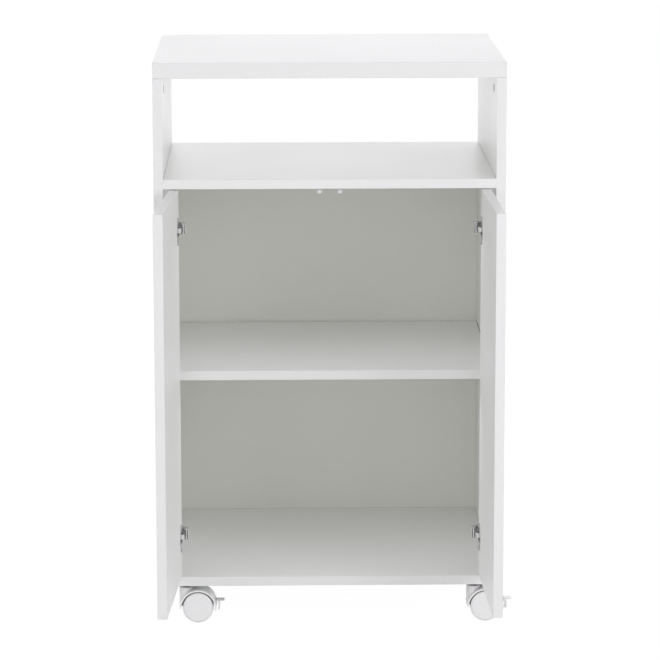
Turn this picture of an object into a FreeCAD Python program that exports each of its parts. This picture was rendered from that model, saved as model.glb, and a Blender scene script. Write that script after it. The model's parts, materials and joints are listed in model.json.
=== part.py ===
"""Microwave cart: open niche over a two-door cupboard, concealed hinges, push latches and casters.

Millimetres. X runs across the cart, Y from the front to the back, Z up. The origin is on the floor
under the middle of the carcass. The cart stands with its doors open and its casters trailing to +X.
"""
import FreeCAD, Part
import math
import os
import re
import Sketcher

SIZES = {
    # carcass
    "cart_width": 560, "cart_depth": 465, "cart_height": 918,
    "panel_thickness": 15, "top_thickness": 25, "edge_round": 1,
    "caster_height": 65, "niche_height": 161, "lower_height": 321,
    "back_setback": 9, "back_thickness": 3, "back_top_gap": 1, "groove_depth": 6, "groove_play": 0.15,
    "inner_shelf_setback": 29, "inner_shelf_side_play": 0.8, "inner_shelf_rear_play": 2,
    # doors, with the angles they stand open at
    "door_thickness": 15, "door_end_gap": 2, "door_side_gap": 2.5, "door_centre_gap": 3,
    "left_door_angle": 93.5, "right_door_angle": 91.3,
    # knock-down fittings
    "cam_radius": 7.5, "cam_height": 12.5, "cam_distance": 24, "fitting_inset": 72,
    "bolt_radius": 3, "bolt_thread": 11, "dowel_radius": 4, "dowel_length": 30, "dowel_entry": 10.5,
    "dowel_spacing": 32, "fitting_play": 0.1,
    "shelf_pin_radius": 2.5, "shelf_pin_depth": 8, "shelf_pin_reach": 7, "shelf_pin_collar": 1.2,
    "shelf_pin_inset": 60,
    "nail_radius": 0.8, "nail_length": 18, "nail_head_radius": 2.2, "nail_head": 0.8, "nail_count": 5,
    # concealed hinges: pivots are set out from the side panel's inner face and the carcass front
    "hinge_inset": 65, "cup_radius": 13, "cup_depth": 12, "cup_wall": 1, "cup_floor": 0.8,
    "cup_setback": 16, "cup_recess_play": 3, "cup_pin_seat": 1.5,
    "flange_length": 46, "flange_width": 15, "flange_thickness": 1, "flange_ring": 2.4,
    "arm_pivot_reach": 30.5, "arm_pivot_clearance": 3.8, "cup_pivot_setback": 7.5,
    "cup_pivot_sink": 6, "elbow_setback": 16.3, "elbow_sink": 9.8, "link_ratio": 0.315,
    "pivot_radius": 1.1, "pivot_play": 0.05, "link_eye": 2.2, "link_thickness": 1.6,
    "link_width": 8, "link_play": 0.3,
    "arm_width": 18, "arm_wall": 1.2, "arm_nose": 2.4, "arm_crank_start": 30, "arm_crank_end": 46,
    "arm_end": 80, "arm_height": 14, "arm_lift": 3.2,
    "plate_thickness": 2.5, "plate_start": 42, "plate_end": 82, "plate_width": 16,
    "plate_wing": 16, "plate_wing_span": 48, "rail_start": 50, "rail_end": 78, "rail_play": 0.4,
    "plate_screw_spacing": 32, "cup_screw_spacing": 38,
    # screws
    "screw_radius": 1.75, "screw_length": 11, "screw_head_radius": 3.5, "screw_head": 1.6,
    "pilot_play": 0.05, "screw_play": 0.2,
    # push latches
    "latch_spacing": 33, "latch_width": 9, "latch_height": 9, "latch_length": 66, "latch_nose": 6.3,
    "latch_flange": 1.6, "latch_round": 2, "latch_ear": 9, "latch_ear_width": 17, "latch_ear_edge": 4,
    "plunger_radius": 2.8, "plunger_length": 40, "plunger_tip": 3.4, "plunger_tip_length": 3,
    "plunger_play": 0.1, "plunger_travel": 3, "latch_door_gap": 0.3,
    # casters
    "caster_inset": 30, "caster_trail": 19, "wheel_radius": 25, "wheel_width": 15, "wheel_gap": 10,
    "wheel_chamfer": 1.6, "wheel_hub": 7, "wheel_rim": 20, "wheel_dish": 5, "wheel_bore_end": 12,
    "axle_radius": 3, "axle_play": 0.06, "axle_end_play": 0.4,
    "caster_plate": 38, "caster_plate_thickness": 2.5, "caster_plate_corner": 5,
    "caster_hole_spacing": 27, "swivel_race_radius": 5.5, "swivel_race": 5, "swivel_gap": 0.5,
    "kingpin_radius": 4, "kingpin_length": 19,
    "housing_radius": 11.7, "housing_foot": 25, "web_gap": 0.4,
    "fender_gap": 2.2, "fender_wall": 2.8, "fender_overhang": 1.5, "fender_drop": 4, "fender_lead": 0.5,
    # brake levers: the pin stands out from and above the axle
    "brake_pin_out": 28.5, "brake_pin_rise": 7.2, "brake_pin_radius": 1.2, "brake_pin_seat": 1.5,
    "brake_eye": 2.6, "brake_play": 0.4, "window_start": 23.5, "window_play": 0.6, "window_rise": 11.5,
    "pedal_reach": 43, "pedal_thickness": 1.7, "pedal_width": 15, "pedal_corner": 3,
    "shoe_gap": 2.5, "shoe_wall": 2.5, "skirt_gap": 8.2, "skirt_wall": 2.4, "skirt_drop": 6.5,
}

doc = FreeCAD.newDocument("microwave_cart")
sheet = doc.addObject("Spreadsheet::Sheet", "Sizes")
for line, (word, number) in enumerate(SIZES.items(), start=1):
    sheet.set(f"A{line}", word)
    sheet.set(f"B{line}", str(number))
    sheet.setAlias(f"B{line}", word)
doc.recompute()

X_AXIS = FreeCAD.Vector(1, 0, 0)
Y_AXIS = FreeCAD.Vector(0, 1, 0)
Z_AXIS = FreeCAD.Vector(0, 0, 1)
UPRIGHT = FreeCAD.Rotation()
ALONG_X = FreeCAD.Rotation(Y_AXIS, 90)
AGAINST_X = FreeCAD.Rotation(Y_AXIS, -90)
ALONG_Y = FreeCAD.Rotation(X_AXIS, -90)
AGAINST_Y = FreeCAD.Rotation(X_AXIS, 90)
DOWNWARD = FreeCAD.Rotation(X_AXIS, 180)
HALF_TURN = FreeCAD.Rotation(Z_AXIS, 180)

ROUGH_REACH = 10     # how far out an outline's corners are drawn before its sizes hold them

nodes = []


# ---------------------------------------------------------------- building helpers
def cells(expression):
    """Point each size's name in an expression at its cell of the sheet."""
    def cell(word):
        return "Sizes." + word[0] if word[0] in SIZES else word[0]
    return re.sub(r"[a-z_]+", cell, expression)


def bind(feature, **expressions):
    for name, expression in expressions.items():
        feature.setExpression(name, cells(expression))


def place(feature, at, turn=UPRIGHT):
    """Stand a feature at three expressions, turned by a fixed rotation."""
    feature.Placement = FreeCAD.Placement(FreeCAD.Vector(), turn)
    for axis, expression in zip("xyz", at):
        feature.setExpression("Placement.Base." + axis, cells(expression))
    return feature


def node(feature, label):
    feature.Label = label
    nodes.append(feature)
    return feature


def box(name, size, corner):
    feature = doc.addObject("Part::Box", name)
    bind(feature, Length=size[0], Width=size[1], Height=size[2])
    return place(feature, corner)


def rod(name, radius, length, at=("0", "0", "0"), turn=UPRIGHT):
    feature = doc.addObject("Part::Cylinder", name)
    bind(feature, Radius=radius, Height=length)
    return place(feature, at, turn)


def fuse(name, *shapes):
    feature = doc.addObject("Part::MultiFuse", name)
    feature.Shapes = list(shapes)
    return feature


def common(name, *shapes):
    feature = doc.addObject("Part::MultiCommon", name)
    feature.Shapes = list(shapes)
    return feature


def group(name, shapes):
    feature = doc.addObject("Part::Compound", name)
    feature.Links = list(shapes)
    return feature


def cut(name, base, *tools):
    feature = doc.addObject("Part::Cut", name)
    feature.Base = base
    feature.Tool = tools[0] if len(tools) == 1 else group(name + "_tools", tools)
    return feature


def copy(name, source, at, turn=UPRIGHT):
    """A placed copy of a piece that is modelled once, about its own origin."""
    return place(group(name, [source]), at, turn)


def mirrored(name, source):
    feature = doc.addObject("Part::Mirroring", name)
    feature.Source = source
    feature.Base = FreeCAD.Vector()
    feature.Normal = X_AXIS
    return feature


def rounded(name, base, edges, radius):
    """Round the edges that a test picks, once the base is built."""
    doc.recompute()
    picked = [number for number, edge in enumerate(base.Shape.Edges, start=1) if edges(edge)]
    feature = doc.addObject("Part::Fillet", name)
    feature.Base = base
    feature.Edges = [(number, radius, radius) for number in picked]
    return feature


def outline(body, name, points):
    """A closed outline of straight runs in the body's XY plane, each corner held by two sizes."""
    drawing = body.newObject("Sketcher::SketchObject", name)
    plane = next(face for face in body.Origin.OriginFeatures if face.Role == "XY_Plane")
    drawing.AttachmentSupport = [(plane, "")]
    drawing.MapMode = "FlatFace"
    step = 2 * math.pi / len(points)
    corners = [FreeCAD.Vector(ROUGH_REACH * math.cos(i * step), ROUGH_REACH * math.sin(i * step), 0)
               for i in range(len(points))]
    for i, corner in enumerate(corners):
        drawing.addGeometry(Part.LineSegment(corner, corners[(i + 1) % len(points)]), False)
    for i in range(len(points)):
        drawing.addConstraint(Sketcher.Constraint("Coincident", i, 2, (i + 1) % len(points), 1))
    for i, (across, along) in enumerate(points):
        first = drawing.addConstraint(Sketcher.Constraint("DistanceX", -1, 1, i, 1, corners[i].x))
        second = drawing.addConstraint(Sketcher.Constraint("DistanceY", -1, 1, i, 1, corners[i].y))
        drawing.setExpression(f"Constraints[{first}]", cells(across))
        drawing.setExpression(f"Constraints[{second}]", cells(along))
    return drawing


def padded(name, points, height):
    """A body padded both ways from its outline."""
    body = doc.addObject("PartDesign::Body", name)
    pad = body.newObject("PartDesign::Pad", name + "_pad")
    pad.Profile = outline(body, name + "_outline", points)
    pad.SideType = "Symmetric"
    bind(pad, Length=height)
    body.Tip = pad
    return body


def revolved(name, points):
    """A body turned about its own Y axis: points are radius and height."""
    body = doc.addObject("PartDesign::Body", name)
    drawing = outline(body, name + "_outline", points)
    turn = body.newObject("PartDesign::Revolution", name + "_turn")
    turn.Profile = drawing
    turn.ReferenceAxis = (drawing, ["V_Axis"])
    turn.Angle = 360
    body.Tip = turn
    return body


# a pan-head screw and its pilot bore: the head stands on the origin and the shank runs down from it
SCREW = fuse("screw", rod("screw_pan", "screw_head_radius", "screw_head"),
             rod("screw_shank", "screw_radius", "screw_length", turn=DOWNWARD))
PILOT = rod("screw_pilot", "screw_radius + pilot_play", "screw_length + 4 * pilot_play", turn=DOWNWARD)


def screw(name, at, turn):
    return copy(name, SCREW, at, turn)


def pilot(name, at, turn):
    return copy(name, PILOT, at, turn)


# ---------------------------------------------------------------- where things stand
FRONT = "(-cart_depth / 2)"
BACK = "(cart_depth / 2)"
INNER_LEFT = "(panel_thickness - cart_width / 2)"
INNER_WIDTH = "(cart_width - 2 * panel_thickness)"
TOP_UNDERSIDE = "(cart_height - top_thickness)"
NICHE_FLOOR = f"({TOP_UNDERSIDE} - niche_height)"
BOARD_DEPTH = "(cart_depth - back_setback - back_thickness)"
CUPBOARD_FLOOR = "(caster_height + panel_thickness)"
INNER_SHELF_BOTTOM = f"({CUPBOARD_FLOOR} + lower_height)"
FITTING_ROWS = {"front": f"({FRONT} + fitting_inset)", "rear": f"({BACK} - fitting_inset)"}
MIDWAY_UP = "panel_thickness / 2"
DOOR_BOTTOM = f"({CUPBOARD_FLOOR} + door_end_gap)"
DOOR_TOP = f"({NICHE_FLOOR} - panel_thickness - door_end_gap)"
HINGE_HEIGHTS = {"upper": f"({DOOR_TOP} - hinge_inset)", "lower": f"({DOOR_BOTTOM} + hinge_inset)"}
SIDES = {"left": -1, "right": 1}


# ---------------------------------------------------------------- knock-down fittings
def cam_joint(name, at, turn, inward, dowel_side):
    """One cam joint: cam lock, bolt and dowel, with the bores they sit in.

    It is modelled with the joint's face on the XY plane and the board that holds the cam below it.
    The cam is sunk into that board's face on the side that inward points to, +1 or -1 along X, and the
    dowel stands dowel_side of the cam along Y.
    """
    cam_turn = AGAINST_X if inward > 0 else ALONG_X
    cam_face = f"{inward} * {MIDWAY_UP}"
    cam_at = (cam_face, "0", "-cam_distance")
    deeper = f"{inward} * ({MIDWAY_UP} + 1)"
    dowel_y = f"{dowel_side} * dowel_spacing"
    parts = {
        "cam": rod(name + "_cam", "cam_radius", "cam_height", cam_at, cam_turn),
        "bolt": rod(name + "_bolt", "bolt_radius", "bolt_thread + cam_distance - cam_radius",
                    ("0", "0", "cam_radius - cam_distance")),
        "dowel": rod(name + "_dowel", "dowel_radius", "dowel_length",
                     ("0", dowel_y, "dowel_entry - dowel_length")),
        "cam_bore": rod(name + "_cam_bore", "cam_radius + fitting_play", "cam_height + 1 + fitting_play",
                        (deeper, "0", "-cam_distance"), cam_turn),
        "bolt_bore": rod(name + "_bolt_bore", "bolt_radius + fitting_play",
                         "bolt_thread + fitting_play + cam_distance", ("0", "0", "-cam_distance")),
        "dowel_bore": rod(name + "_dowel_bore", "dowel_radius + fitting_play",
                          "dowel_length + 2 * fitting_play",
                          ("0", dowel_y, "dowel_entry - dowel_length - fitting_play")),
    }
    return {kind: copy(f"{name}_{kind}_set", piece, at, turn) for kind, piece in parts.items()}


joints = {"top_left": [], "top_right": [], "niche_left": [], "niche_right": [],
          "bottom_left": [], "bottom_right": []}
for row, depth in FITTING_ROWS.items():
    dowel_side = 1 if row == "front" else -1
    for side, sign in SIDES.items():
        middle = f"{sign} * (cart_width - panel_thickness) / 2"
        face = f"{sign} * {INNER_WIDTH} / 2"
        joints["top_" + side].append(
            cam_joint(f"top_{side}_{row}", (middle, depth, TOP_UNDERSIDE), UPRIGHT, -sign, dowel_side))
        # the shelf boards hold their cams in the underside, and their bolts run out into the side panels
        outward = ALONG_X if sign > 0 else AGAINST_X
        for board, top in (("niche", NICHE_FLOOR), ("bottom", CUPBOARD_FLOOR)):
            joints[f"{board}_{side}"].append(
                cam_joint(f"{board}_{side}_{row}", (face, depth, f"{top} - {MIDWAY_UP}"), outward, sign,
                          dowel_side))


def pieces(kind, *places):
    return [joint[kind] for name in places for joint in joints[name]]


def bores(*places):
    return [joint[kind] for name in places for joint in joints[name]
            for kind in ("cam_bore", "bolt_bore", "dowel_bore")]


def entry_bores(*places):
    """Only the bolt's and the dowel's bores: what a board has that takes no cam."""
    return [joint[kind] for name in places for joint in joints[name]
            for kind in ("bolt_bore", "dowel_bore")]


node(group("cam_locks", pieces("cam", *joints)), "cam_locks")
node(group("cam_bolts", pieces("bolt", *joints)), "cam_bolts")
node(group("wooden_dowels", pieces("dowel", *joints)), "wooden_dowels")


# ---------------------------------------------------------------- shelf pins
pins = []
pin_bores = []
for side, sign in SIDES.items():
    for row, depth in (("front", f"({FRONT} + inner_shelf_setback + shelf_pin_inset)"),
                       ("rear", f"({FRONT} + {BOARD_DEPTH} - shelf_pin_inset)")):
        name = f"shelf_pin_{side}_{row}"
        inward = AGAINST_X if sign > 0 else ALONG_X
        spot = (f"{sign} * {INNER_WIDTH} / 2", depth, f"{INNER_SHELF_BOTTOM} - shelf_pin_radius")
        stem = rod(name + "_stem", "shelf_pin_radius", "shelf_pin_depth + shelf_pin_reach",
                   ("0", "0", "-shelf_pin_depth"))
        collar = cut(name + "_collar",
                     rod(name + "_disc", "shelf_pin_radius * 1.6", "shelf_pin_collar"),
                     box(name + "_flat", ("10", "20", "20"), ("0", "-10", "-10")))
        hole = rod(name + "_hole", "shelf_pin_radius + fitting_play", "shelf_pin_depth + 1",
                   ("0", "0", "-shelf_pin_depth - fitting_play"))
        place(collar, ("0", "0", "0"), HALF_TURN if sign < 0 else UPRIGHT)
        pins.append(copy(name, fuse(name + "_whole", stem, collar), spot, inward))
        pin_bores.append(copy(name + "_bore", hole, spot, inward))
node(group("shelf_pins", pins), "shelf_pins")


# ---------------------------------------------------------------- hinge hardware, left hand
# A hinge is modelled closed, about the crossing of the side panel's inner face (X), the carcass front (Y)
# and its own middle (Z). The door edge stands door_side_gap from that crossing.
ARM_PIVOT = ("arm_pivot_reach", "(door_thickness + arm_pivot_clearance)")
CUP_PIVOT = ("(door_side_gap + cup_pivot_setback)", "(door_thickness - cup_pivot_sink)")
ELBOW = ("(door_side_gap + elbow_setback)", "(door_thickness - elbow_sink)")
CUP_CENTRE = "(door_side_gap + cup_setback)"
CUP_RECESS = "(link_width + 2 * cup_recess_play)"


def hinge_arm():
    """Pressed channel: its two cheeks carry the link pin and its web cranks down to the mounting plate."""
    web = "(arm_pivot_reach + arm_nose + link_play)"
    nose = "(door_thickness + arm_pivot_clearance - arm_nose)"
    shell = padded("hinge_arm_form", [
        ("arm_pivot_reach - arm_nose", nose), (f"{web} + arm_wall", nose),
        (f"{web} + arm_wall", "arm_crank_start"), ("arm_height", "arm_crank_end"),
        ("arm_height", "arm_end"), ("arm_lift", "arm_end"), ("arm_lift", "arm_crank_end - 4"),
        ("arm_pivot_reach - arm_nose", "arm_crank_start - 4")], "arm_width")
    hollow = shell.newObject("PartDesign::Pocket", "hinge_arm_hollow")
    hollow.Profile = outline(shell, "hinge_arm_hollow_outline", [
        ("-1", f"{nose} - 1"), (web, f"{nose} - 1"), (web, "arm_crank_start - arm_wall / 2"),
        ("arm_height - arm_wall", "arm_crank_end - arm_wall / 2"),
        ("arm_height - arm_wall", "arm_end + 1"), ("-1", "arm_end + 1")])
    hollow.SideType = "Symmetric"
    bind(hollow, Length="arm_width - 2 * arm_wall")
    shell.Tip = hollow
    pin_bore = rod("arm_pin_bore", "pivot_radius + pivot_play", "arm_width + 2",
                   (*ARM_PIVOT, "-arm_width / 2 - 1"))
    screw_bore = rod("arm_screw_bore", "screw_radius + 2 * screw_play", "arm_wall + 2",
                     ("arm_height - arm_wall - 1", "(rail_start + rail_end) / 2", "0"), ALONG_X)
    return cut("hinge_arm", shell, pin_bore, screw_bore)


def mounting_plate():
    """Cross-shaped plate with the raised rail that the arm slides over."""
    top = "(arm_height - arm_wall)"
    strip = box("plate_strip", ("plate_thickness", "plate_end - plate_start", "plate_width"),
                ("0", "plate_start", "-plate_width / 2"))
    middle = "(rail_start + rail_end) / 2"
    wings = box("plate_wings", ("plate_thickness", "plate_wing", "plate_wing_span"),
                ("0", f"{middle} - plate_wing / 2", "-plate_wing_span / 2"))
    rail_width = "(arm_width - 2 * arm_wall - 2 * rail_play)"
    rail = box("plate_rail", (f"{top} - plate_thickness / 2", "rail_end - rail_start", rail_width),
               ("plate_thickness / 2", "rail_start", f"-{rail_width} / 2"))
    bores = [rod(f"plate_bore_{i}", "screw_radius + screw_play", "plate_thickness + 2",
                 ("-1", middle, f"{i} * plate_screw_spacing / 2"), ALONG_X) for i in (-1, 1)]
    tapping = rod("plate_tapping", "screw_radius + pilot_play", "screw_length",
                  (f"{top} + 0.5 - screw_length", middle, "0"), ALONG_X)
    return cut("mounting_plate", fuse("plate_form", strip, wings, rail), *bores, tapping)


def hinge_cup():
    """Drawn cup with a screw flange, open towards the cabinet, and its link pin's two holes."""
    floor = "(door_thickness - cup_depth)"
    face = "(door_thickness + flange_thickness)"
    wall = rod("cup_wall_form", "cup_radius", f"{face} - {floor}", (CUP_CENTRE, floor, "0"), ALONG_Y)
    ring = rod("cup_ring", "cup_radius + flange_ring", "flange_thickness",
               (CUP_CENTRE, "door_thickness", "0"), ALONG_Y)
    flange = box("cup_flange", ("flange_width", "flange_thickness", "flange_length - flange_width"),
                 (f"{CUP_CENTRE} - flange_width / 2", "door_thickness",
                  "(flange_width - flange_length) / 2"))
    ends = [rod(f"cup_flange_end_{i}", "flange_width / 2", "flange_thickness",
                (CUP_CENTRE, "door_thickness", f"{i} * (flange_length - flange_width) / 2"), ALONG_Y)
            for i in (-1, 1)]
    recess = box("cup_recess", ("2 * cup_radius", "cup_depth + flange_thickness", CUP_RECESS),
                 (f"{CUP_CENTRE} - cup_radius", f"{floor} + cup_floor", f"-{CUP_RECESS} / 2"))
    cavity = common("cup_cavity", recess, rod(
        "cup_round", "cup_radius - cup_wall", "cup_depth + flange_thickness",
        (CUP_CENTRE, f"{floor} + cup_floor", "0"), ALONG_Y))
    bores = [rod(f"cup_bore_{i}", "screw_radius + screw_play", "flange_thickness + 2",
                 (CUP_CENTRE, "door_thickness - 1", f"{i} * cup_screw_spacing / 2"), ALONG_Y)
             for i in (-1, 1)]
    pin_bore = rod("cup_pin_bore", "pivot_radius + pivot_play", "2 * cup_radius",
                   (*CUP_PIVOT, "-cup_radius"))
    return cut("hinge_cup", fuse("cup_form", wall, ring, flange, *ends), cavity, pin_bore, *bores)


def hinge_link():
    """Bent strip with an eye at each end: it swings on the arm's pin and carries the cup's pin."""
    half = "link_thickness / 2"
    strip = padded("link_strip", [
        (f"{ARM_PIVOT[0]} - {half}", ARM_PIVOT[1]),
        (f"{ELBOW[0]} - {half} / 2", f"{ELBOW[1]} + {half} * 1.4"),
        (CUP_PIVOT[0], f"{CUP_PIVOT[1]} + {half}"), (CUP_PIVOT[0], f"{CUP_PIVOT[1]} - {half}"),
        (f"{ELBOW[0]} + {half} / 4", f"{ELBOW[1]} - {half}"), (f"{ARM_PIVOT[0]} + {half}", ARM_PIVOT[1])],
        "link_width")
    arm_eye = rod("link_arm_eye", "link_eye", "arm_width - 2 * arm_wall - 2 * link_play",
                  (*ARM_PIVOT, "arm_wall + link_play - arm_width / 2"))
    cup_eye = rod("link_cup_eye", "link_eye", "link_width", (*CUP_PIVOT, "-link_width / 2"))
    bores = [rod(f"link_bore_{i}", "pivot_radius + pivot_play", "arm_width", (*pivot, "-arm_width / 2"))
             for i, pivot in enumerate((ARM_PIVOT, CUP_PIVOT))]
    return cut("hinge_link", fuse("link_form", strip, arm_eye, cup_eye), *bores)


CUP_PIN_HALF = f"({CUP_RECESS} / 2 + cup_pin_seat)"
HARDWARE = {
    "arm": hinge_arm(),
    "plate": mounting_plate(),
    "cup": hinge_cup(),
    "link": hinge_link(),
    "arm_pin": rod("arm_pin", "pivot_radius", "arm_width + 0.8", (*ARM_PIVOT, "-arm_width / 2 - 0.4")),
    "cup_pin": rod("cup_pin", "pivot_radius", f"2 * {CUP_PIN_HALF}", (*CUP_PIVOT, f"-{CUP_PIN_HALF}")),
    "plate_screws": group("plate_screw_pair", [
        screw(f"plate_screw_{i}", ("plate_thickness", "(rail_start + rail_end) / 2",
                                   f"{i} * plate_screw_spacing / 2"), ALONG_X) for i in (-1, 1)]),
    "arm_screw": screw("arm_screw", ("arm_height", "(rail_start + rail_end) / 2", "0"), ALONG_X),
    "cup_screws": group("cup_screw_pair", [
        screw(f"cup_screw_{i}", (CUP_CENTRE, "door_thickness + flange_thickness",
                                 f"{i} * cup_screw_spacing / 2"), ALONG_Y) for i in (-1, 1)]),
    "plate_pilots": group("plate_pilot_pair", [
        pilot(f"plate_pilot_{i}", ("plate_thickness", "(rail_start + rail_end) / 2",
                                   f"{i} * plate_screw_spacing / 2"), ALONG_X) for i in (-1, 1)]),
    "cup_pilots": group("cup_pilot_set", [
        *[pilot(f"cup_pilot_{i}", (CUP_CENTRE, "door_thickness + flange_thickness",
                                   f"{i} * cup_screw_spacing / 2"), ALONG_Y) for i in (-1, 1)],
        rod("cup_seat", "cup_radius + fitting_play", "cup_depth + 1",
            (CUP_CENTRE, "door_thickness - cup_depth - fitting_play", "0"), ALONG_Y)]),
}


def hinge_pair(kind, side):
    """The upper and the lower hinge's copies of one piece, mirrored for the right-hand door."""
    source = HARDWARE[kind] if side == "left" else mirrored(f"right_{kind}_form", HARDWARE[kind])
    face = f"{SIDES[side]} * {INNER_WIDTH} / 2"
    return [copy(f"{side}_{level}_{kind}", source, (face, FRONT, height))
            for level, height in HINGE_HEIGHTS.items()]


# ---------------------------------------------------------------- how a door and its links swing
def turned(point, angle):
    return (point[0] * math.cos(angle) - point[1] * math.sin(angle),
            point[0] * math.sin(angle) + point[1] * math.cos(angle))


def swing(side, link=False):
    """Where a closed door, or its links, stands once the door has opened.

    A link turns about the arm pin by link_ratio of the door's angle, the other way from the door, and the
    door turns about the pin that the link carries.
    """
    inner = SIZES["panel_thickness"] - SIZES["cart_width"] / 2
    front = -SIZES["cart_depth"] / 2
    arm = (inner + SIZES["arm_pivot_reach"], front + SIZES["door_thickness"] + SIZES["arm_pivot_clearance"])
    cup = (inner + SIZES["door_side_gap"] + SIZES["cup_pivot_setback"],
           front + SIZES["door_thickness"] - SIZES["cup_pivot_sink"])
    opened = SIZES[side + "_door_angle"]
    link_angle = SIZES["link_ratio"] * opened
    lever = turned((cup[0] - arm[0], cup[1] - arm[1]), math.radians(link_angle))
    carried = (arm[0] + lever[0], arm[1] + lever[1])
    pivot, rest, angle = (arm, arm, link_angle) if link else (cup, carried, -opened)
    spun = turned(pivot, math.radians(angle))
    shift = (rest[0] - spun[0], rest[1] - spun[1])
    if side == "right":
        shift = (-shift[0], shift[1])
        angle = -angle
        carried = (-carried[0], carried[1])
        arm = (-arm[0], arm[1])
    kind = "link pin in the arm" if link else "link pin in the cup"
    spot = arm if link else carried
    print(f"{side} {kind}: x {spot[0]:.4f}, y {spot[1]:.4f}")
    return FreeCAD.Placement(FreeCAD.Vector(*shift, 0), FreeCAD.Rotation(Z_AXIS, angle))


def swung(label, shapes, placement):
    feature = group(label, shapes)
    feature.Placement = placement
    return node(feature, label)


# ---------------------------------------------------------------- casters, modelled once about the stem
WHEEL_FACE = "(wheel_gap / 2 + wheel_width)"
PLATE_BOTTOM = "(caster_height - caster_plate_thickness)"
RACE_BOTTOM = f"({PLATE_BOTTOM} - swivel_race)"
HOOD_TOP = f"({RACE_BOTTOM} - swivel_gap)"
KINGPIN_BOTTOM = f"({PLATE_BOTTOM} - kingpin_length)"
HUB = ("caster_trail", "wheel_radius")
FENDER_INSIDE = "(wheel_radius + fender_gap)"
FENDER_OUTSIDE = f"({FENDER_INSIDE} + fender_wall)"
WEB_WIDTH = "(wheel_gap - 2 * web_gap)"
BRAKE_PIN = ("(caster_trail + brake_pin_out)", "(wheel_radius + brake_pin_rise)")
CORNERS = [(x, y) for x in (-1, 1) for y in (-1, 1)]


def across(name, radius, width, at=HUB):
    """A disc about the axle's direction, centred on the caster."""
    return rod(name, radius, width, (at[0], f"-({width}) / 2", at[1]), ALONG_Y)


def caster_plate():
    """Square plate with the upper race of the swivel pressed out of it."""
    half = "caster_plate / 2"
    blank = box("caster_plate_blank", ("caster_plate", "caster_plate", "caster_plate_thickness"),
                (f"-{half}", f"-{half}", PLATE_BOTTOM))
    corners = rounded("caster_plate_corners", blank,
                      lambda edge: abs(edge.tangentAt(edge.FirstParameter).z) > 0.9,
                      SIZES["caster_plate_corner"])
    race = rod("caster_race", "swivel_race_radius", "swivel_race + caster_plate_thickness / 2",
               ("0", "0", RACE_BOTTOM))
    bores = [rod(f"caster_plate_bore_{x}_{y}", "screw_radius + 2 * screw_play",
                 "caster_plate_thickness + 2",
                 (f"{x} * caster_hole_spacing / 2", f"{y} * caster_hole_spacing / 2",
                  f"{PLATE_BOTTOM} - 1"))
             for x, y in CORNERS]
    stem = rod("caster_plate_stem_bore", "kingpin_radius + axle_play", "20",
               ("0", "0", f"{PLATE_BOTTOM} - 10"))
    return cut("caster_plate", fuse("caster_plate_form", corners, race), *bores, stem)


def kingpin():
    """Swivel pin, fixed in the plate and free in the hood's blind bore."""
    return rod("kingpin", "kingpin_radius", "kingpin_length + caster_plate_thickness",
               ("0", "0", KINGPIN_BOTTOM))


def plain_hood():
    """Moulded hood: swivel housing, a round fender over both wheels and the web between them."""
    width = f"(2 * ({WHEEL_FACE} + fender_overhang))"
    housing = rod("hood_housing", "housing_radius", f"{HOOD_TOP} - housing_foot",
                  ("0", "0", "housing_foot"))
    lead = box("hood_lead", (FENDER_OUTSIDE, width, f"{FENDER_OUTSIDE} + fender_lead"),
               (f"caster_trail - {FENDER_OUTSIDE}", f"-{width} / 2", "wheel_radius - fender_lead"))
    trail = box("hood_trail", (FENDER_OUTSIDE, width, f"{FENDER_OUTSIDE} + fender_drop"),
                ("caster_trail", f"-{width} / 2", "wheel_radius - fender_drop"))
    fender = common("hood_fender", across("hood_disc", FENDER_OUTSIDE, width),
                    fuse("hood_cover", lead, trail))
    web = across("hood_web", "wheel_rim", WEB_WIDTH)
    wells = [rod(f"hood_well_{side}", FENDER_INSIDE, f"{WHEEL_FACE} + 5",
                 ("caster_trail", f"{side} * {WEB_WIDTH} / 2", "wheel_radius"),
                 ALONG_Y if side > 0 else AGAINST_Y) for side in (1, -1)]
    axle_bore = across("hood_axle_bore", "axle_radius + axle_play", "wheel_gap * 2")
    stem_bore = rod("hood_stem_bore", "kingpin_radius + axle_play", "kingpin_length + 5",
                    ("0", "0", f"{KINGPIN_BOTTOM} - 0.5"))
    return cut("hood", fuse("hood_form", housing, fender, web), *wells, axle_bore, stem_bore)


def braked_hood(plain):
    """The hood with a window in its fender for the brake's shoe, and a neck that holds the brake's pin."""
    width = "(pedal_width + 2 * window_play)"
    window = box("hood_window", (FENDER_OUTSIDE, width, "fender_drop + window_rise + 1"),
                 ("caster_trail + window_start", f"-{width} / 2", "wheel_radius - fender_drop - 1"))
    neck = box("hood_neck", ("brake_pin_out - wheel_hub", WEB_WIDTH, "2 * brake_eye"),
               ("caster_trail + wheel_hub", f"-{WEB_WIDTH} / 2", f"{BRAKE_PIN[1]} - brake_eye"))
    boss = across("hood_brake_boss", "brake_eye", WEB_WIDTH, BRAKE_PIN)
    bore = across("hood_brake_bore", "brake_pin_radius + axle_play", "2 * wheel_gap", BRAKE_PIN)
    windowed = cut("windowed_hood", plain, window)
    return cut("braked_hood", fuse("braked_hood_form", windowed, neck, boss), bore)


def axle():
    return across("axle", "axle_radius", "wheel_gap + 2 * (wheel_bore_end - axle_end_play)")


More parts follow.
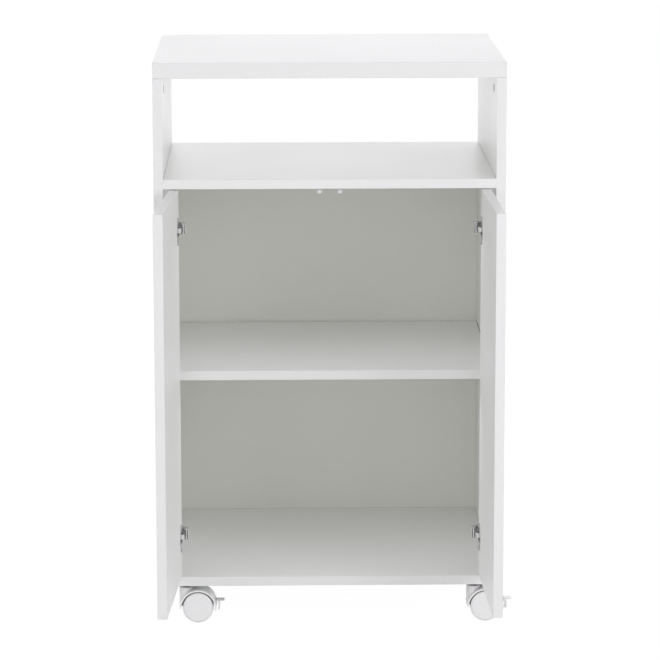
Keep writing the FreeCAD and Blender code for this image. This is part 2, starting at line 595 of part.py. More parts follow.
def wheel():
    """Twin-wheel disc: dished on its inner side, closed outside. Its Y axis runs outwards."""
    return revolved("wheel_form", [
        ("0", "wheel_width"), ("wheel_radius - wheel_chamfer * 2", "wheel_width"),
        ("wheel_radius - wheel_chamfer / 3", "wheel_width - wheel_chamfer"),
        ("wheel_radius", "wheel_width - wheel_chamfer * 2"), ("wheel_radius", "wheel_chamfer"),
        ("wheel_radius - wheel_chamfer", "0"), ("wheel_rim", "0"), ("wheel_rim - 1", "wheel_dish"),
        ("wheel_hub + 1", "wheel_dish"), ("wheel_hub", "0"), ("axle_radius + axle_play", "0"),
        ("axle_radius + axle_play", "wheel_bore_end"), ("0", "wheel_bore_end")])


def brake_lever():
    """Thin foot pedal with a shoe and a skirt hung from it, turning on a pin through the hood's neck."""
    limbs = []
    for limb in ("shoe", "skirt"):
        inside = f"(wheel_radius + {limb}_gap)"
        limbs.append(cut(limb + "_ring", across(limb + "_disc", f"{inside} + {limb}_wall", "pedal_width"),
                         across(limb + "_hollow", inside, "2 * pedal_width")))
    plate_bottom = f"({BRAKE_PIN[1]} + brake_eye - pedal_thickness)"
    sector = box("brake_sector", ("pedal_reach", "2 * pedal_width",
                                  "brake_pin_rise + brake_eye - pedal_thickness / 2 + skirt_drop"),
                 ("caster_trail", "-pedal_width", "wheel_radius - skirt_drop"))
    plate = box("pedal_plate", ("pedal_reach - brake_pin_out", "pedal_width", "pedal_thickness"),
                (BRAKE_PIN[0], "-pedal_width / 2", plate_bottom))
    pedal = rounded("pedal", plate, toe_corners, SIZES["pedal_corner"])
    eye = across("brake_eye_form", "brake_eye", "pedal_width", BRAKE_PIN)
    room = "(brake_eye + brake_play)"
    slot = fuse("brake_slot", across("brake_slot_end", room, "wheel_gap", BRAKE_PIN),
                box("brake_slot_mouth", ("2 * brake_eye", "wheel_gap", f"2 * {room} + 2 * brake_play"),
                    (f"{BRAKE_PIN[0]} - 2 * brake_eye", "-wheel_gap / 2",
                     f"{BRAKE_PIN[1]} - {room} - 2 * brake_play")))
    pin = across("brake_pin", "brake_pin_radius", "wheel_gap + 2 * brake_pin_seat", BRAKE_PIN)
    hung = common("brake_limbs", fuse("brake_rings", *limbs), sector)
    return fuse("brake_lever", cut("brake_lever_form", fuse("brake_whole", hung, pedal, eye), slot), pin)


def toe_corners(edge):
    """The pedal's two upright edges at its toe."""
    toe = SIZES["caster_trail"] + SIZES["pedal_reach"]
    return edge.BoundBox.ZLength > SIZES["pedal_thickness"] / 2 and edge.BoundBox.XMin > toe - 1


STEMS = {
    f"{row}_{side}": (f"{sign} * ({INNER_WIDTH} / 2 - caster_inset)", depth, "0")
    for row, depth in (("front", f"({FRONT} + caster_inset)"), ("rear", f"({BACK} - caster_inset)"))
    for side, sign in SIDES.items()
}
plate_form = caster_plate()
hood_forms = {"rear": plain_hood()}
hood_forms["front"] = braked_hood(hood_forms["rear"])
axle_form = axle()
wheel_form = wheel()
lever_form = brake_lever()
kingpin_form = kingpin()
kingpins = []
caster_screws = []
caster_pilots = []
for corner, stem in STEMS.items():
    hub_x = f"{stem[0]} + caster_trail"
    row = corner.split("_")[0]
    for piece, form in (("plate", plate_form), ("hood", hood_forms[row]), ("axle", axle_form)):
        label = f"{corner}_caster_{piece}"
        node(copy(label, form, stem), label)
    for face, sign, turn in (("face", "-", HALF_TURN), ("back", "+", UPRIGHT)):
        label = f"{corner}_caster_{face}_wheel"
        node(copy(label, wheel_form, (hub_x, f"{stem[1]} {sign} wheel_gap / 2", HUB[1]), turn), label)
    if row == "front":
        label = corner + "_brake_lever"
        node(copy(label, lever_form, stem), label)
    kingpins.append(copy(corner + "_kingpin", kingpin_form, stem))
    for x, y in CORNERS:
        spot = (f"{stem[0]} + {x} * caster_hole_spacing / 2",
                f"{stem[1]} + {y} * caster_hole_spacing / 2", PLATE_BOTTOM)
        caster_screws.append(screw(f"{corner}_screw_{x}_{y}", spot, DOWNWARD))
        caster_pilots.append(pilot(f"{corner}_pilot_{x}_{y}", spot, DOWNWARD))
node(group("caster_kingpins", kingpins), "caster_kingpins")
node(group("caster_screws", caster_screws), "caster_screws")


# ---------------------------------------------------------------- push latches
LATCH_FRONT = f"({FRONT} + door_thickness + latch_nose)"
LATCH_TOP = f"({NICHE_FLOOR} - panel_thickness)"
PLUNGER_HEIGHT = f"({LATCH_TOP} - latch_flange - latch_height / 2)"
latch_screws = []
latch_pilots = []


def push_latch(side, middle):
    """Housing screwed up under the niche shelf through an ear at its tail, with a bore for the plunger."""
    barrel = box(f"{side}_latch_barrel", ("latch_width", "latch_length", "latch_flange + latch_height"),
                 (f"{middle} - latch_width / 2", LATCH_FRONT, f"{LATCH_TOP} - latch_flange - latch_height"))
    soft = rounded(f"{side}_latch_soft", barrel, lower_edges_along_y, SIZES["latch_round"])
    ears = box(f"{side}_latch_ears", ("latch_ear_width + 2 * latch_ear_edge", "latch_ear", "latch_flange"),
               (f"{middle} - latch_ear_width / 2 - latch_ear_edge", f"{LATCH_FRONT} + latch_length / 2",
                f"{LATCH_TOP} - latch_flange"))
    bore = rod(f"{side}_latch_bore", "plunger_radius + plunger_play",
               "plunger_length + plunger_travel + 2",
               (middle, f"{LATCH_FRONT} - 1", PLUNGER_HEIGHT), ALONG_Y)
    spots = [(f"{middle} + {i} * latch_ear_width / 2", f"{LATCH_FRONT} + latch_length / 2 + latch_ear / 2",
              f"{LATCH_TOP} - latch_flange") for i in (-1, 1)]
    holes = [rod(f"{side}_latch_hole_{i}", "screw_radius + screw_play", "latch_flange + 2",
                 (spot[0], spot[1], f"{LATCH_TOP} - latch_flange - 1")) for i, spot in enumerate(spots)]
    for i, spot in enumerate(spots):
        latch_screws.append(screw(f"{side}_latch_screw_{i}", spot, DOWNWARD))
        latch_pilots.append(pilot(f"{side}_latch_pilot_{i}", spot, DOWNWARD))
    return cut(f"{side}_push_latch_form", fuse(f"{side}_latch_whole", soft, ears), bore, *holes)


def lower_edges_along_y(edge):
    """The latch barrel's two long lower edges."""
    niche_floor = SIZES["cart_height"] - SIZES["top_thickness"] - SIZES["niche_height"]
    barrel_middle = niche_floor - SIZES["panel_thickness"] - SIZES["latch_height"]
    return edge.BoundBox.YLength > 1 and edge.BoundBox.ZMax < barrel_middle


def plunger(side, middle):
    """Rod with a wider rounded tip that stands just behind the closed door."""
    tip_at = f"({FRONT} + door_thickness + latch_door_gap)"
    rear = rod(f"{side}_plunger_rod", "plunger_radius", "plunger_length",
               (middle, tip_at, PLUNGER_HEIGHT), ALONG_Y)
    tip = rod(f"{side}_plunger_tip", "plunger_tip", "plunger_tip_length - latch_door_gap",
              (middle, tip_at, PLUNGER_HEIGHT), ALONG_Y)
    return fuse(f"{side}_plunger_form", rear, tip)


for side, sign in SIDES.items():
    latch_middle = f"({sign} * latch_spacing / 2)"
    node(push_latch(side, latch_middle), side + "_push_latch")
    node(plunger(side, latch_middle), side + "_latch_plunger")
node(group("latch_screws", latch_screws), "latch_screws")


# ---------------------------------------------------------------- back panel and its nails
nails = []
nail_bores = []
for level, height in (("upper", f"({NICHE_FLOOR} - {MIDWAY_UP})"),
                      ("lower", f"({CUPBOARD_FLOOR} - {MIDWAY_UP})")):
    for i in range(SIZES["nail_count"]):
        name = f"nail_{level}_{i}"
        across_at = f"{INNER_WIDTH} * ({i} + 0.5) / nail_count - {INNER_WIDTH} / 2"
        spot = (across_at, f"{FRONT} + {BOARD_DEPTH} + back_thickness", height)
        head = rod(name + "_head", "nail_head_radius", "nail_head")
        shank = rod(name + "_shank", "nail_radius", "nail_length", turn=DOWNWARD)
        hole = rod(name + "_hole", "nail_radius + pilot_play", "nail_length + 1", turn=DOWNWARD)
        nails.append(copy(name, fuse(name + "_whole", head, shank), spot, ALONG_Y))
        nail_bores.append(copy(name + "_bore", hole, spot, ALONG_Y))
node(group("back_panel_nails", nails), "back_panel_nails")
back_blank = box("back_blank", (f"{INNER_WIDTH} + 2 * groove_depth", "back_thickness",
                                f"{NICHE_FLOOR} - caster_height - back_top_gap"),
                 (f"-({INNER_WIDTH} / 2 + groove_depth)", f"{FRONT} + {BOARD_DEPTH}", "caster_height"))
node(cut("back_panel", back_blank, *nail_bores), "back_panel")


# ---------------------------------------------------------------- carcass boards
def panel_top_edges(edge):
    """A side panel's upper edges, eased like the top board's, so that the joint shows as a fine seam."""
    return edge.BoundBox.ZMin > SIZES["cart_height"] - SIZES["top_thickness"] - 1


for side in SIDES:
    node(group(side + "_hinge_arms", hinge_pair("arm", side)), side + "_hinge_arms")
for kind, label in (("plate", "hinge_mounting_plates"), ("arm_pin", "hinge_arm_pins"),
                    ("plate_screws", "hinge_plate_screws"), ("arm_screw", "hinge_arm_screws")):
    node(group(label, hinge_pair(kind, "left") + hinge_pair(kind, "right")), label)

for side, sign in SIDES.items():
    outer_x = "(-cart_width / 2)" if sign < 0 else f"({INNER_WIDTH} / 2)"
    panel = box(side + "_side_blank", ("panel_thickness", "cart_depth", f"{TOP_UNDERSIDE} - caster_height"),
                (outer_x, FRONT, "caster_height"))
    eased = rounded(side + "_side_eased", panel, panel_top_edges, SIZES["edge_round"])
    groove = box(side + "_groove", ("groove_depth + groove_play + 1", "back_thickness + 2 * groove_play",
                                    f"{NICHE_FLOOR} - caster_height + 1"),
                 (f"{sign} * ({INNER_WIDTH} / 2 + (groove_depth + groove_play - 1) / 2)"
                  " - (groove_depth + groove_play + 1) / 2",
                  f"{FRONT} + {BOARD_DEPTH} - groove_play", "caster_height - 1"))
    side_pins = [bore for bore in pin_bores if f"_{side}_" in bore.Name]
    node(cut(side + "_side_panel", eased, groove, *bores("top_" + side),
             *entry_bores("niche_" + side, "bottom_" + side), *side_pins,
             *hinge_pair("plate_pilots", side)), side + "_side_panel")

top_blank = box("top_blank", ("cart_width", "cart_depth", "top_thickness"),
                ("-cart_width / 2", FRONT, TOP_UNDERSIDE))
top_rounded = rounded("top_rounded", top_blank, lambda edge: edge.BoundBox.ZLength < 1, SIZES["edge_round"])
node(cut("top_board", top_rounded, *entry_bores("top_left", "top_right")), "top_board")

niche_blank = box("niche_blank", (INNER_WIDTH, BOARD_DEPTH, "panel_thickness"),
                  (INNER_LEFT, FRONT, f"{NICHE_FLOOR} - panel_thickness"))
upper_nails = [bore for bore in nail_bores if "_upper_" in bore.Name]
node(cut("niche_shelf", niche_blank, *bores("niche_left", "niche_right"), *upper_nails, *latch_pilots),
     "niche_shelf")

bottom_blank = box("bottom_blank", (INNER_WIDTH, BOARD_DEPTH, "panel_thickness"),
                   (INNER_LEFT, FRONT, "caster_height"))
lower_nails = [bore for bore in nail_bores if "_lower_" in bore.Name]
node(cut("bottom_board", bottom_blank, *bores("bottom_left", "bottom_right"), *lower_nails, *caster_pilots),
     "bottom_board")

shelf_size = (f"{INNER_WIDTH} - 2 * inner_shelf_side_play",
              f"{BOARD_DEPTH} - inner_shelf_setback - inner_shelf_rear_play", "panel_thickness")
node(box("inner_shelf", shelf_size, (f"{INNER_LEFT} + inner_shelf_side_play",
                                     f"{FRONT} + inner_shelf_setback", INNER_SHELF_BOTTOM)), "inner_shelf")


# ---------------------------------------------------------------- doors with what is fixed to them
DOOR_WIDTH = f"({INNER_WIDTH} / 2 - door_side_gap - door_centre_gap / 2)"
for side, sign in SIDES.items():
    door_x = f"({INNER_LEFT} + door_side_gap)" if sign < 0 else "(door_centre_gap / 2)"
    blank = box(side + "_door_blank", (DOOR_WIDTH, "door_thickness", f"{DOOR_TOP} - {DOOR_BOTTOM}"),
                (door_x, FRONT, DOOR_BOTTOM))
    soft = rounded(side + "_door_soft", blank,
                   lambda edge: edge.BoundBox.YMax < 1 - SIZES["cart_depth"] / 2, SIZES["edge_round"])
    door_place = swing(side)
    bored = cut(side + "_door_bored", soft, *hinge_pair("cup_pilots", side))
    swung(side + "_door", [bored], door_place)
    swung(side + "_hinge_cups", hinge_pair("cup", side), door_place)
    swung(side + "_cup_pins", hinge_pair("cup_pin", side), door_place)
    swung(side + "_cup_screws", hinge_pair("cup_screws", side), door_place)
    swung(side + "_hinge_links", hinge_pair("link", side), swing(side, link=True))


# ---------------------------------------------------------------- check and write
doc.recompute()
for feature in doc.Objects:
    if "Invalid" in feature.State or "Error" in feature.State:
        raise RuntimeError(f"{feature.Name} failed: {feature.State}")
for feature in nodes:
    if feature.Shape.isNull() or not feature.Shape.isValid() or not feature.Shape.Solids:
        raise RuntimeError(f"{feature.Label} has no valid solid")
os.makedirs("parts", exist_ok=True)
for feature in nodes:
    feature.Shape.exportStep(f"parts/{feature.Label}.step")
print(len(nodes), "nodes,", sum(len(feature.Shape.Solids) for feature in nodes), "solids")
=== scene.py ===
"""Looks of the microwave cart: studio, camera and procedural finishes over the CAD frame. Metres."""
import json
import math

import bmesh
import bpy
import numpy as np
from mathutils import Matrix, Vector


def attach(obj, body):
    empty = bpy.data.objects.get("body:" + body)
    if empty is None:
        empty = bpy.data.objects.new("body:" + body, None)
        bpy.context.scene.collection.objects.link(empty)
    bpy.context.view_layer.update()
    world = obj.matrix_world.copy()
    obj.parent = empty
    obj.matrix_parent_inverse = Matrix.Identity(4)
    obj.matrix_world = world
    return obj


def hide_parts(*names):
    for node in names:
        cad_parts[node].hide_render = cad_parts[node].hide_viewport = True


MM = 0.001
WHITE = (1.0, 1.0, 1.0, 1.0)

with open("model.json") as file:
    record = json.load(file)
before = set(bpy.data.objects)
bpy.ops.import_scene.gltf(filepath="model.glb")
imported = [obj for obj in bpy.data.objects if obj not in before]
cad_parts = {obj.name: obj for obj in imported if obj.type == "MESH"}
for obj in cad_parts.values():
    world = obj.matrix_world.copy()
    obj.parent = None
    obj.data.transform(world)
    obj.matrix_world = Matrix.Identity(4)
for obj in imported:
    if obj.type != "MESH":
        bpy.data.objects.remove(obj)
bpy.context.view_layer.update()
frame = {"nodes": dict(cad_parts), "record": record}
scene = bpy.context.scene

# ---------------------------------------------------------------- finishes
# painted shade: the base colour is darkened where other surfaces come near, as shade would fall there
PAINTED_SHADE_RAYS = 6
FULL_SHADE_AIR, NO_SHADE_AIR = 0.25, 0.60           # shares of open air at which the painted shade is full and gone
NOISE_LOW, NOISE_HIGH = 0.3, 0.7            # nearly all values of a noise lie between these
MIX_FIRST, MIX_SECOND, MIX_RESULT = 6, 7, 2     # the colour sockets of a Mix node


class Finish:
    """A Principled material built from nodes, with links made by name."""

    def __init__(self, name):
        self.material = bpy.data.materials.new(name)
        self.material.use_nodes = True
        self.tree = self.material.node_tree
        self.shader = next(node for node in self.tree.nodes if node.type == "BSDF_PRINCIPLED")

    def add(self, kind, **values):
        """A node of a kind, with input values by name: spaces are written as underscores."""
        node = self.tree.nodes.new(kind)
        for name, value in values.items():
            node.inputs[name.replace("_", " ")].default_value = value
        return node

    def link(self, source, output, target, name):
        self.tree.links.new(source.outputs[output], target.inputs[name])

    def set(self, **values):
        for name, value in values.items():
            self.shader.inputs[name.replace("_", " ")].default_value = value

    def noise(self, scale, detail, stretch=(1.0, 1.0, 1.0)):
        """Noise over the object's own coordinates, with the scale in cells per metre."""
        where = self.add("ShaderNodeTexCoord")
        mapping = self.add("ShaderNodeMapping", Scale=stretch)
        noise = self.add("ShaderNodeTexNoise", Scale=scale, Detail=detail)
        self.link(where, "Object", mapping, "Vector")
        self.link(mapping, "Vector", noise, "Vector")
        return noise

    def vary(self, name, noise, low, high):
        """Lets the noise move one of the shader's numbers between two values."""
        spread = self.add("ShaderNodeMapRange", From_Min=NOISE_LOW, From_Max=NOISE_HIGH,
                          To_Min=low, To_Max=high)
        self.link(noise, "Fac", spread, "Value")
        self.link(spread, "Result", self.shader, name)

    def blend(self, first, second, source, output):
        """A mix of two colours by another node's value."""
        mix = self.add("ShaderNodeMix")
        mix.data_type = "RGBA"
        for socket, colour in ((MIX_FIRST, first), (MIX_SECOND, second)):
            if isinstance(colour, tuple):
                mix.inputs[socket].default_value = (*colour, 1.0)
            else:
                self.tree.links.new(colour, mix.inputs[socket])
        self.link(source, output, mix, "Factor")
        return mix.outputs[MIX_RESULT]

    def tint(self, noise, low, high, painted_shade, reach):
        """Lets the noise move the base colour between two colours, with painted shade where surfaces
        crowd.

        The painted shade is a darker colour put into seams and gaps that are narrower than the reach,
        where shade falls.
        """
        own_colour = self.blend(low, high, noise, "Fac")
        # painted shade: ambient occlusion mixes the base colour towards the dark colour in seams and gaps
        air = self.add("ShaderNodeAmbientOcclusion", Distance=reach)
        air.samples = PAINTED_SHADE_RAYS
        unshaded = self.add("ShaderNodeMapRange", From_Min=FULL_SHADE_AIR, From_Max=NO_SHADE_AIR)
        self.link(air, "AO", unshaded, "Value")
        colour = self.blend(painted_shade, own_colour, unshaded, "Result")
        self.tree.links.new(colour, self.shader.inputs["Base Color"])

    def relief(self, noise, depth, arris):
        """Fine surface relief over edges that catch the light as if eased by the arris radius."""
        bevel = self.add("ShaderNodeBevel", Radius=arris)
        bump = self.add("ShaderNodeBump", Strength=1.0, Distance=depth)
        self.link(noise, "Fac", bump, "Height")
        self.link(bevel, "Normal", bump, "Normal")
        self.link(bump, "Normal", self.shader, "Normal")


def melamine():
    """White foil with the faint pearl of a pressed melamine face."""
    finish = Finish("white_melamine")
    pearl = finish.noise(scale=900.0, detail=3.0)
    clouds = finish.noise(scale=7.0, detail=2.0)
    # the dark colour is painted shade along seams and edges where other boards come near
    finish.tint(clouds, low=(0.935, 0.938, 0.918), high=(0.942, 0.945, 0.925),
                painted_shade=(0.08, 0.08, 0.08), reach=2.6 * MM)
    finish.vary("Roughness", clouds, low=0.39, high=0.42)
    finish.set(Specular_IOR_Level=0.30)
    finish.relief(pearl, depth=0.02 * MM, arris=0.7 * MM)
    return finish.material


def hardboard():
    """Thin painted panel, a little greyer and duller than the boards."""
    finish = Finish("painted_hardboard")
    grain = finish.noise(scale=260.0, detail=5.0)
    clouds = finish.noise(scale=5.0, detail=2.0)
    # the dark colour is painted shade where the panel meets the boards
    finish.tint(clouds, low=(0.886, 0.892, 0.829), high=(0.902, 0.908, 0.845),
                painted_shade=(0.30, 0.30, 0.28), reach=1.2 * MM)
    finish.vary("Roughness", grain, low=0.52, high=0.62)
    finish.set(Specular_IOR_Level=0.32)
    finish.relief(grain, depth=0.03 * MM, arris=0.4 * MM)
    return finish.material


def beech():
    """Turned beech dowel."""
    finish = Finish("beech")
    grain = finish.noise(scale=160.0, detail=6.0, stretch=(0.08, 1.0, 1.0))
    # the dark colour is painted shade where the dowel sits in its hole
    finish.tint(grain, low=(0.50, 0.32, 0.16), high=(0.66, 0.46, 0.27),
                painted_shade=(0.20, 0.13, 0.07), reach=1.0 * MM)
    finish.vary("Roughness", grain, low=0.55, high=0.70)
    finish.relief(grain, depth=0.05 * MM, arris=0.3 * MM)
    return finish.material


def steel(name, low, high, roughness, painted_shade_reach):
    """Bare or plated metal with drawn marks that run across the piece."""
    finish = Finish(name)
    drawn = finish.noise(scale=900.0, detail=4.0, stretch=(1.0, 1.0, 0.05))
    # the near-black colour is painted shade in the metal's hollows and gaps
    finish.tint(drawn, low, high, painted_shade=(0.015, 0.015, 0.015), reach=painted_shade_reach)
    finish.vary("Roughness", drawn, *roughness)
    finish.set(Metallic=1.0)
    finish.relief(drawn, depth=0.01 * MM, arris=0.3 * MM)
    return finish.material


def plastic(name, low, high, roughness, painted_shade_reach, arris):
    """Moulded plastic with a soft spark-eroded face."""
    finish = Finish(name)
    spark = finish.noise(scale=2200.0, detail=3.0)
    clouds = finish.noise(scale=30.0, detail=2.0)
    # the dark colour is painted shade in gaps such as the one between fender and wheel
    finish.tint(clouds, low, high, painted_shade=(0.09, 0.09, 0.09), reach=painted_shade_reach)
    finish.vary("Roughness", clouds, *roughness)
    finish.set(Specular_IOR_Level=0.5, Subsurface_Weight=0.04, Subsurface_Scale=2.0 * MM)
    finish.relief(spark, depth=0.012 * MM, arris=arris)
    return finish.material


FINISHES = {
    "white_melamine_board": melamine(),
    "painted_hardboard": hardboard(),
    "beech": beech(),
    "zinc_plated_steel": steel("zinc_plated_steel", low=(0.58, 0.59, 0.62), high=(0.70, 0.71, 0.73),
                               roughness=(0.28, 0.42), painted_shade_reach=2.0 * MM),
    # the long reach spreads painted shade over the hinges' hollows and inner faces
    "hinge_steel": steel("hinge_steel", low=(0.60, 0.60, 0.61), high=(0.78, 0.78, 0.79),
                         roughness=(0.16, 0.28), painted_shade_reach=30.0 * MM),
    # darker than the other steels: partly the pressed steel's own colour, partly painted shade of the gap
    # under the bottom board
    "caster_steel": steel("caster_steel", low=(0.34, 0.34, 0.36), high=(0.44, 0.44, 0.46),
                          roughness=(0.34, 0.48), painted_shade_reach=4.0 * MM),
    "latch_plastic": plastic("latch_plastic", low=(0.80, 0.80, 0.80), high=(0.84, 0.84, 0.84),
                             roughness=(0.40, 0.50), painted_shade_reach=2.0 * MM, arris=0.4 * MM),
    "wheel_plastic": plastic("wheel_plastic", low=(0.935, 0.935, 0.920), high=(0.955, 0.955, 0.940),
                             roughness=(0.30, 0.38), painted_shade_reach=3.2 * MM, arris=0.6 * MM),
    "caster_plastic": plastic("caster_plastic", low=(0.935, 0.935, 0.920), high=(0.955, 0.955, 0.940),
                              roughness=(0.32, 0.42), painted_shade_reach=6.0 * MM, arris=0.6 * MM),
}
# the cam locks get a dark, dull metal of their own
CAST_ZINC = steel("cast_zinc", low=(0.10, 0.10, 0.10), high=(0.16, 0.16, 0.16),
                  roughness=(0.45, 0.55), painted_shade_reach=4.0 * MM)

SLOT_OF = {part["node"]: part["material_slot"] for part in frame["record"]["subparts"]}
for node, slot in SLOT_OF.items():
    for place in frame["nodes"][node].material_slots:
        place.material = FINISHES[slot]

# ---------------------------------------------------------------- screws and cam locks, with their drives
BODY_OF = {node: body for body, nodes in frame["record"]["behaviour"]["bodies"].items() for node in nodes}
WELD = 0.001 * MM
TURN_STEPS = 28
SMOOTH_UP_TO = math.radians(35)
NICHE_FLOOR = 732 * MM
DRIVE_TAPER = 0.75      # the size of a drive's foot beside its mouth

# profiles of radius and height in mm, from the middle of the outer end down the axis
CREST, ROOT, THREAD_TOP, PITCH, THREAD_TURNS = 1.75, 1.30, -2.6, 1.1, 8
THREAD = [point for i in range(THREAD_TURNS)
          for point in ((CREST, THREAD_TOP - PITCH * i), (ROOT, THREAD_TOP - PITCH * (i + 0.5)))]
SCREW = [(0, 0), (1.3, -0.03), (2.5, -0.2), (3.2, -0.55), (3.5, -1.05), (3.4, -1.6), (CREST, -1.6),
         *THREAD, (1.2, -11.4), (0, -12.6)]
CAM = [(0, -0.5), (6.3, -0.5), (6.5, 0), (7.3, 0), (7.5, -0.2), (7.5, -12.5), (0, -12.5)]


def mesh_of(name, shape):
    bmesh.ops.recalc_face_normals(shape, faces=shape.faces)
    mesh = bpy.data.meshes.new(name)
    shape.to_mesh(mesh)
    shape.free()
    return mesh


def lathe(name, profile):
    """A closed mesh turned about Z from a profile that starts and ends on the axis."""
    shape = bmesh.new()
    rings = []
    for radius, height in profile:
        turns = [i * math.tau / TURN_STEPS for i in range(TURN_STEPS if radius else 1)]
        rings.append([shape.verts.new((radius * MM * math.cos(turn), radius * MM * math.sin(turn),
                                       height * MM)) for turn in turns])
    for upper, lower in zip(rings, rings[1:]):
        for i in range(TURN_STEPS):
            spots = ((upper, i), (lower, i), (lower, i + 1), (upper, i + 1))
            shape.faces.new(dict.fromkeys(ring[j % len(ring)] for ring, j in spots))
    return mesh_of(name, shape)


def cross(name, length, width, top, foot):
    """A plus-shaped cutter that narrows downwards from top to foot, in mm."""
    plan = [(width, length), (width, width), (length, width)]
    for _ in range(3):
        plan += [(y, -x) for x, y in plan[-3:]]
    shape = bmesh.new()
    upper, lower = (
        [shape.verts.new((x / 2 * share * MM, y / 2 * share * MM, height * MM)) for x, y in plan]
        for height, share in ((top, 1.0), (foot, DRIVE_TAPER)))
    for i in range(len(plan)):
        j = (i + 1) % len(plan)
        shape.faces.new((upper[i], upper[j], lower[j], lower[i]))
    shape.faces.new(upper)
    shape.faces.new(lower)
    return mesh_of(name, shape)


def carved(name, form, cutter):
    """The form with the cutter taken out of it."""
    helpers = [bpy.data.objects.new(f"{name}_{mesh.name}", mesh) for mesh in (form, cutter)]
    for helper in helpers:
        scene.collection.objects.link(helper)
    taking = helpers[0].modifiers.new("drive", "BOOLEAN")
    taking.operation = "DIFFERENCE"
    taking.solver = "EXACT"
    taking.object = helpers[1]
    bpy.context.view_layer.update()
    evaluated = helpers[0].evaluated_get(bpy.context.evaluated_depsgraph_get())
    result = bpy.data.meshes.new_from_object(evaluated)
    for helper in helpers:
        bpy.data.objects.remove(helper)
    return result


def solids_of(node):
    """The points of each separate solid of a CAD node."""
    shape = bmesh.new()
    shape.from_mesh(frame["nodes"][node].data)
    bmesh.ops.remove_doubles(shape, verts=shape.verts, dist=WELD)
    waiting = dict.fromkeys(shape.verts)
    solids = []
    while waiting:
        reached = [next(iter(waiting))]
        del waiting[reached[0]]
        for point in reached:
            for line in point.link_edges:
                other = line.other_vert(point)
                if other in waiting:
                    del waiting[other]
                    reached.append(other)
        solids.append(np.array([point.co for point in reached]))
    shape.free()
    return solids


def screw_direction(points):
    """Along the screw, towards its wide end."""
    spread = points - points.mean(axis=0)
    axis = np.linalg.svd(spread, full_matrices=False)[2][0]
    along = spread @ axis
    away = np.linalg.norm(spread - np.outer(along, axis), axis=1)
    return axis * np.sign(along[away.argmax()])


def cam_direction(points):
    """The side panels' cams look across the niche, and the other boards' cams look down."""
    middle = points.mean(axis=0)
    if middle[2] > NICHE_FLOOR:
        return np.array((-np.sign(middle[0]), 0.0, 0.0))
    return np.array((0.0, 0.0, -1.0))


def dress(node, form, direction, finish=None):
    """Replaces a node's plain fasteners with carved ones that stand in the same places.

    They have their slot's finish unless another is named.
    """
    joined = bmesh.new()
    for points in solids_of(node):
        axis = direction(points)
        middle = (points.min(axis=0) + points.max(axis=0)) / 2
        end = middle + axis * ((points - middle) @ axis).max()
        turn = Vector(axis).to_track_quat("Z", "Y").to_matrix().to_4x4()
        placed = form.copy()
        placed.transform(Matrix.Translation(end) @ turn)
        joined.from_mesh(placed)
        bpy.data.meshes.remove(placed)
    mesh = mesh_of(node + "_driven", joined)
    mesh.shade_smooth()
    mesh.set_sharp_from_angle(angle=SMOOTH_UP_TO)
    mesh.materials.append(finish or FINISHES[SLOT_OF[node]])
    piece = bpy.data.objects.new(node + "_driven", mesh)
    scene.collection.objects.link(piece)
    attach(piece, BODY_OF[node])
    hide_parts(node)


driven_screw = carved("screw", lathe("pan_head", SCREW),
                      cross("screw_drive", length=3.8, width=0.9, top=0.6, foot=-1.3))
driven_cam = carved("cam", lathe("cast_cam", CAM),
                    cross("cam_drive", length=8.4, width=1.5, top=0.6, foot=-3.0))
for node in ("hinge_plate_screws", "hinge_arm_screws", "left_cup_screws", "right_cup_screws",
             "latch_screws", "caster_screws"):
    dress(node, driven_screw, screw_direction)
dress("cam_locks", driven_cam, cam_direction, CAST_ZINC)

# ---------------------------------------------------------------- studio
DAYLIGHT = (1.0, 0.994, 1.030)
WORLD_FILL = 0.50
FLOOR_SIZE = 30.0
FLOOR_ALBEDO = (0.86, 0.86, 0.86, 1.0)
FLOOR_ROUGHNESS = 0.9
SHADOW_SHARE = 0.08     # how much of the floor's own shading the camera sees under its white
WHITE_LIFT = 0.7        # how much of that share the white gains, so that the open floor stays white


def white_backdrop(tree, shaded, output, kind, share=0.0):
    """Shows white to the camera, mirrors and glass, and keeps the shaded colour for every other ray.

    The share is how much of the shaded colour is left in the white, so that a floor keeps its shadow.
    """
    path = tree.nodes.new("ShaderNodeLightPath")
    seen = path.outputs["Is Camera Ray"]
    for ray in ("Is Glossy Ray", "Is Transmission Ray"):
        either = tree.nodes.new("ShaderNodeMath")
        either.operation = "MAXIMUM"
        tree.links.new(seen, either.inputs[0])
        tree.links.new(path.outputs[ray], either.inputs[1])
        seen = either.outputs[0]
    part = tree.nodes.new("ShaderNodeMath")
    part.operation = "MULTIPLY"
    part.inputs[1].default_value = 1.0 - share
    tree.links.new(seen, part.inputs[0])
    plain = tree.nodes.new(kind)
    plain.inputs["Color"].default_value = WHITE
    plain.inputs["Strength"].default_value = 1.0 + share * WHITE_LIFT
    mix = tree.nodes.new("ShaderNodeMixShader")
    tree.links.new(part.outputs[0], mix.inputs[0])
    tree.links.new(shaded.outputs[0], mix.inputs[1])
    tree.links.new(plain.outputs[0], mix.inputs[2])
    tree.links.new(mix.outputs[0], output.inputs["Surface"])


world = bpy.data.worlds.new("studio")
world.use_nodes = True
scene.world = world
world_nodes = world.node_tree.nodes
fill = next(node for node in world_nodes if node.type == "BACKGROUND")
fill.inputs["Color"].default_value = (*DAYLIGHT, 1.0)
fill.inputs["Strength"].default_value = WORLD_FILL
white_backdrop(world.node_tree, fill,
               next(node for node in world_nodes if node.type == "OUTPUT_WORLD"),
               "ShaderNodeBackground")

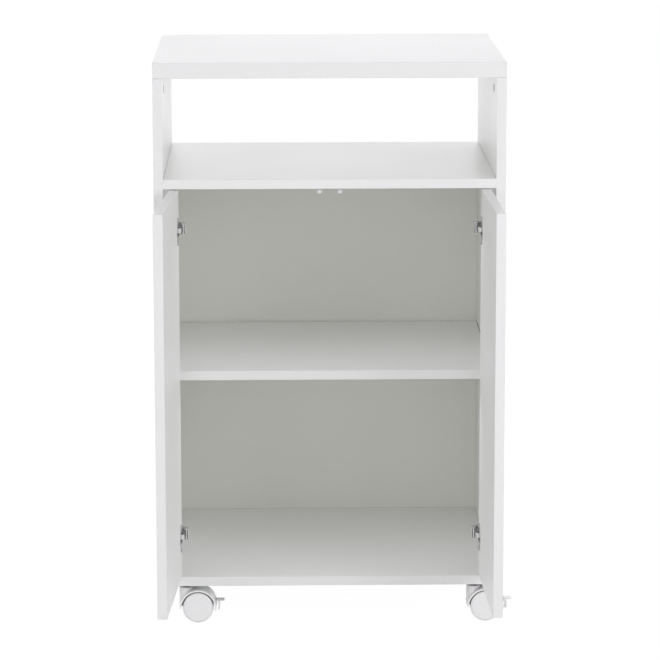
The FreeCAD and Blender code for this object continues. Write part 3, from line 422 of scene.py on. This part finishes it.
floor_mesh = bpy.data.meshes.new("floor")
reach = FLOOR_SIZE / 2
floor_mesh.from_pydata([(-reach, -reach, 0), (reach, -reach, 0), (reach, reach, 0), (-reach, reach, 0)],
                       [], [(0, 1, 2, 3)])
floor = bpy.data.objects.new("floor", floor_mesh)
scene.collection.objects.link(floor)
floor_material = bpy.data.materials.new("floor")
floor_material.use_nodes = True
floor_nodes = floor_material.node_tree.nodes
paint = next(node for node in floor_nodes if node.type == "BSDF_PRINCIPLED")
paint.inputs["Base Color"].default_value = FLOOR_ALBEDO
paint.inputs["Roughness"].default_value = FLOOR_ROUGHNESS
white_backdrop(floor_material.node_tree, paint,
               next(node for node in floor_nodes if node.type == "OUTPUT_MATERIAL"),
               "ShaderNodeEmission", SHADOW_SHARE)
floor_mesh.materials.append(floor_material)


def soft_light(name, at, towards, size, watts):
    """A soft box of a width and height, aimed at a point."""
    data = bpy.data.lights.new(name, "AREA")
    data.shape = "RECTANGLE"
    data.size, data.size_y = size
    data.energy = watts
    data.color = DAYLIGHT
    lamp = bpy.data.objects.new(name, data)
    lamp.location = at
    lamp.rotation_euler = (Vector(towards) - Vector(at)).to_track_quat("-Z", "Y").to_euler()
    lamp.visible_camera = False
    scene.collection.objects.link(lamp)


MIDDLE = (0.0, 0.0, 0.45)
NICHE = (0.0, 0.0, 0.78)
soft_light("front_right", at=(2.6, -3.2, 1.5), towards=MIDDLE, size=(2.0, 2.0), watts=41.5)
soft_light("front_left", at=(-2.6, -3.2, 1.5), towards=MIDDLE, size=(2.0, 2.0), watts=23.0)
soft_light("front_high", at=(0.0, -3.2, 3.0), towards=MIDDLE, size=(2.2, 2.2), watts=4.0)
soft_light("behind_niche", at=(0.0, 2.6, 1.3), towards=NICHE, size=(1.8, 1.8), watts=12.9)

# a faint strip under the front of the niche shelf and of the inner shelf lifts the two compartments
STRIP_FRONT, STRIP_AIM, STRIP_FALL = -0.205, -0.10, 0.245
for name, height in (("upper_strip", 0.695), ("lower_strip", 0.392)):
    soft_light(name, at=(0.0, STRIP_FRONT, height), towards=(0.0, STRIP_AIM, height - STRIP_FALL),
               size=(0.44, 0.05), watts=0.155)

# ---------------------------------------------------------------- camera, solved from the photo's edges
CAMERA_AT = (-0.08791, -5.12415, 1.43356)
CAMERA_RIGHT = Vector((0.99983308, -0.01821852, -0.00138063))
CAMERA_UP = Vector((0.00481116, 0.18963083, 0.98184367))
CAMERA_AHEAD = Vector((0.01762593, 0.98168642, -0.18968683))
SENSOR = 36.0
FOCAL_PIXELS, PHOTO_PIXELS = 3108.53, 660.0

camera_data = bpy.data.cameras.new("camera")
camera_data.sensor_fit = "HORIZONTAL"
camera_data.sensor_width = SENSOR
camera_data.lens = SENSOR * (FOCAL_PIXELS / PHOTO_PIXELS)
camera_data.clip_start = 0.1
camera_data.clip_end = 100.0
camera = bpy.data.objects.new("camera", camera_data)
turn = Matrix((CAMERA_RIGHT, CAMERA_UP, -CAMERA_AHEAD)).transposed().to_4x4()
camera.matrix_world = Matrix.Translation(CAMERA_AT) @ turn
scene.collection.objects.link(camera)
scene.camera = camera
scene.view_settings.view_transform = "Standard"
